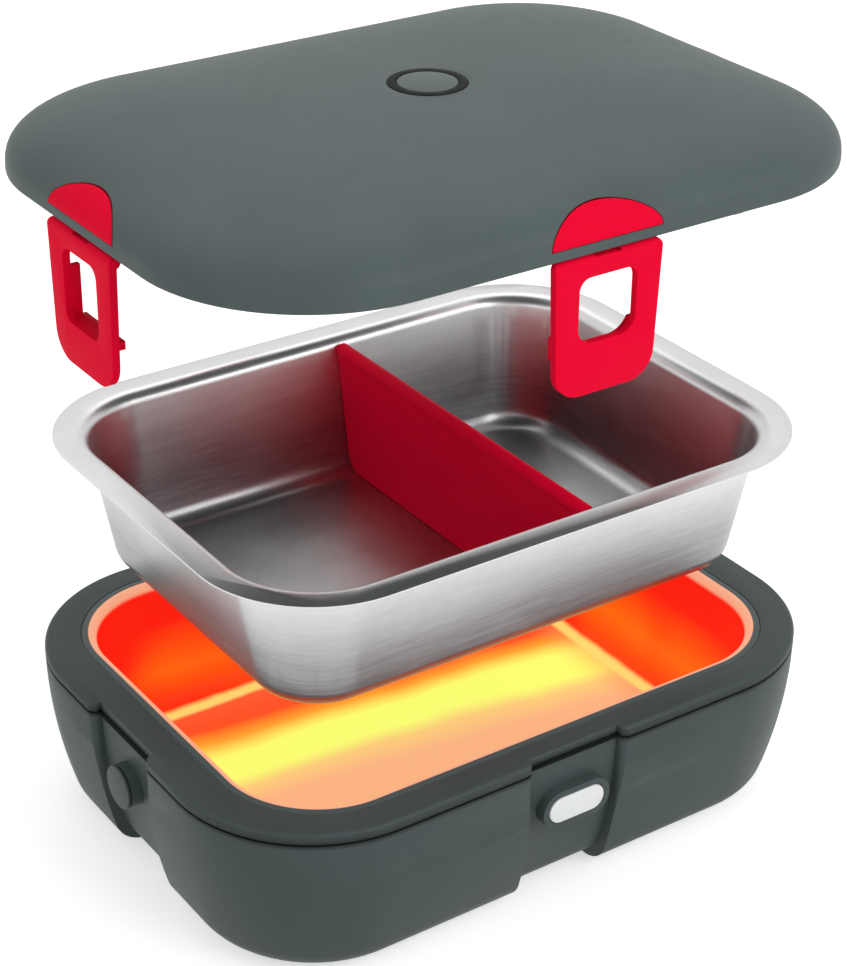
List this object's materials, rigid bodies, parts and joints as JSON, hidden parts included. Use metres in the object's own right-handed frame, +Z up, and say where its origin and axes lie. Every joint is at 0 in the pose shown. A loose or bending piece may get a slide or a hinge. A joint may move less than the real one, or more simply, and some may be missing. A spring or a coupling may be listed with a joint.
{
  "type": "electric lunch box",
  "caption": "Heated lunch box with rounded corners: base with heating pan and power button, lift-out steel tray with divider, domed lid with vent and swing-down latches, drawn apart.",
  "frame": {"origin": "middle of the underside, on the plane of the feet", "axes": "+Z up; the front with the power button faces -Y; the power inlet faces -X"},
  "size_m": [0.2726, 0.2072, 0.2886],
  "materials": {
    "slate_shell": "soft-touch moulded plastic, fine grain",
    "slate_lid": "soft-touch moulded plastic, fine grain",
    "crimson_silicone": "matt silicone",
    "crimson_latch": "matt moulded plastic with a soft feel",
    "tray_steel": "drawn stainless steel, satin with a brighter flange",
    "pan_enamel": "heat-resistant coating, glowing red to yellow as in use",
    "heater_foil": "etched heating foil",
    "insulation_felt": "ceramic fibre felt",
    "board_green": "solder mask",
    "steel_screw": "bright plated steel",
    "contact_brass": "bright brass",
    "black_plastic": "matt moulded plastic",
    "black_rubber": "matt rubber",
    "gasket_silicone": "translucent matt silicone",
    "button_white": "smooth translucent white lens"
  },
  "bodies": {
    "base": {"base_shell": "slate_shell", "base_rim": "slate_shell", "bottom_cover": "slate_shell", "cover_screws": "steel_screw", "feet": "black_rubber", "heating_pan": "pan_enamel", "floor_heater": "heater_foil", "wall_heater": "heater_foil", "insulation_pad": "insulation_felt", "thermostat": "steel_screw", "thermal_fuse": "steel_screw", "control_board": "board_green", "board_screws": "steel_screw", "power_switch": "black_plastic", "status_led": "button_white", "inlet_socket": "black_plastic", "inlet_pin": "contact_brass"},
    "power_button": {"power_button": "button_white"},
    "inlet_cap": {"inlet_cap": "slate_shell"},
    "tray": {"tray": "tray_steel"},
    "divider": {"divider": "crimson_silicone"},
    "lid": {"lid_shell": "slate_lid", "lid_liner": "slate_lid", "lid_gasket": "gasket_silicone", "vent_ring": "black_rubber", "inlay_front": "crimson_silicone", "inlay_back": "crimson_silicone", "inlay_left": "crimson_silicone", "inlay_right": "crimson_silicone", "latch_pins": "steel_screw"},
    "vent": {"vent_button": "slate_lid", "vent_valve": "black_rubber"},
    "latch_front": {"latch_front": "crimson_latch"},
    "latch_back": {"latch_back": "crimson_latch"},
    "latch_left": {"latch_left": "crimson_latch"},
    "latch_right": {"latch_right": "crimson_latch"}
  },
  "joints": [
    {"name": "tray_lift", "type": "slide", "parent": "base", "child": "tray", "axis": [0, 0, 1], "range_m": [-0.0855, 0]},
    {"name": "lid_lift", "type": "slide", "parent": "tray", "child": "lid", "axis": [0, 0, 1], "range_m": [-0.1074, 0]},
    {"name": "divider_lift", "type": "slide", "parent": "tray", "child": "divider", "axis": [0, 0, 1], "range_m": [0, 0.045]},
    {"name": "latch_front_swing", "type": "hinge", "parent": "lid", "child": "latch_front", "pos_m": [0, -0.1008, 0.2593], "axis": [-1, 0, 0], "range_deg": [0, 90]},
    {"name": "latch_back_swing", "type": "hinge", "parent": "lid", "child": "latch_back", "pos_m": [0, 0.1008, 0.2593], "axis": [1, 0, 0], "range_deg": [0, 90]},
    {"name": "latch_left_swing", "type": "hinge", "parent": "lid", "child": "latch_left", "pos_m": [-0.1335, 0, 0.2593], "axis": [0, 1, 0], "range_deg": [0, 90]},
    {"name": "latch_right_swing", "type": "hinge", "parent": "lid", "child": "latch_right", "pos_m": [0.1335, 0, 0.2593], "axis": [0, -1, 0], "range_deg": [0, 90]},
    {"name": "vent_press", "type": "slide", "parent": "lid", "child": "vent", "axis": [0, 0, -1], "range_m": [0, 0.0015], "stiffness_N_per_m": 400},
    {"name": "button_press", "type": "slide", "parent": "base", "child": "power_button", "axis": [0, 1, 0], "range_m": [0, 0.0008], "stiffness_N_per_m": 500},
    {"name": "cap_pull", "type": "slide", "parent": "base", "child": "inlet_cap", "axis": [-1, 0, 0], "range_m": [0, 0.012]}
  ]
}
